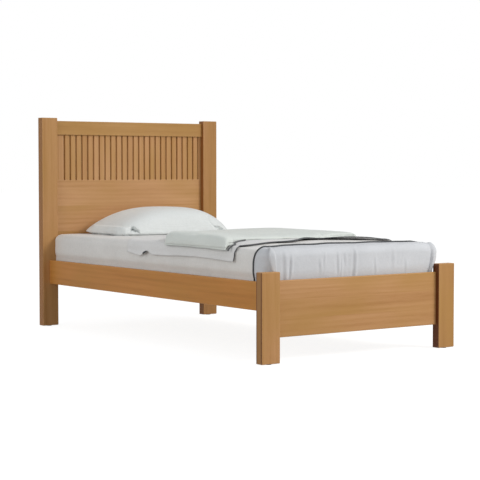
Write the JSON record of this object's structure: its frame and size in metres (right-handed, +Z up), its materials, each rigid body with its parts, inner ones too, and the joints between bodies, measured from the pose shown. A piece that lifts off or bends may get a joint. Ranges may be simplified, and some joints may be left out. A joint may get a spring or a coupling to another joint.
{
  "type": "slatted bed",
  "caption": "Single slatted wooden bed with a ribbed headboard, low footboard and side rails on hidden hooks, dressed with mattress, pillow and folded cover.",
  "frame": {"origin": "on the floor, at the middle of the bed's length and width", "axes": "+X towards the right long side as seen by someone facing the headboard from the foot, +Y towards the headboard, +Z up"},
  "size_m": [1.1, 1.98, 1.09],
  "materials": {
    "stained_wood": "satin",
    "plain_wood": "matte",
    "plate_steel": "satin",
    "glide_plastic": "matte",
    "mattress_cloth": "matte",
    "sheet_cotton": "matte",
    "blanket_cotton": "matte",
    "duvet_cotton": "matte",
    "pillow_cotton": "matte"
  },
  "bodies": {
    "bed_frame": {"bed_slat_01": "plain_wood", "bed_slat_02": "plain_wood", "bed_slat_03": "plain_wood", "bed_slat_04": "plain_wood", "bed_slat_05": "plain_wood", "bed_slat_06": "plain_wood", "bed_slat_07": "plain_wood", "bed_slat_08": "plain_wood", "bed_slat_09": "plain_wood", "bed_slat_10": "plain_wood", "bed_slat_11": "plain_wood", "bed_slat_12": "plain_wood", "bed_slat_13": "plain_wood", "floor_glides": "glide_plastic", "foot_post_left": "stained_wood", "foot_post_right": "stained_wood", "footboard_panel": "stained_wood", "head_post_left": "stained_wood", "head_post_right": "stained_wood", "headboard_back_board": "plain_wood", "headboard_panel": "stained_wood", "headboard_slats": "stained_wood", "headboard_top_rail": "stained_wood", "ledger_left": "plain_wood", "ledger_right": "plain_wood", "post_catch_foot_left": "plate_steel", "post_catch_foot_right": "plate_steel", "post_catch_head_left": "plate_steel", "post_catch_head_right": "plate_steel", "rail_hook_foot_left": "plate_steel", "rail_hook_foot_right": "plate_steel", "rail_hook_head_left": "plate_steel", "rail_hook_head_right": "plate_steel", "side_rail_left": "stained_wood", "side_rail_right": "stained_wood"},
    "mattress": {"mattress": "mattress_cloth", "top_sheet": "sheet_cotton", "foot_blanket": "blanket_cotton"},
    "folded_duvet": {"folded_duvet": "duvet_cotton"},
    "pillow": {"pillow": "pillow_cotton"}
  },
  "joints": [
    {"name": "mattress_lift", "type": "slide", "parent": "bed_frame", "child": "mattress", "axis": [0, 0, 1], "range_m": [0, 0.3]},
    {"name": "duvet_lift", "type": "slide", "parent": "mattress", "child": "folded_duvet", "axis": [0, 0, 1], "range_m": [0, 0.3]},
    {"name": "pillow_lift", "type": "slide", "parent": "mattress", "child": "pillow", "axis": [0, 0, 1], "range_m": [0, 0.3]}
  ]
}
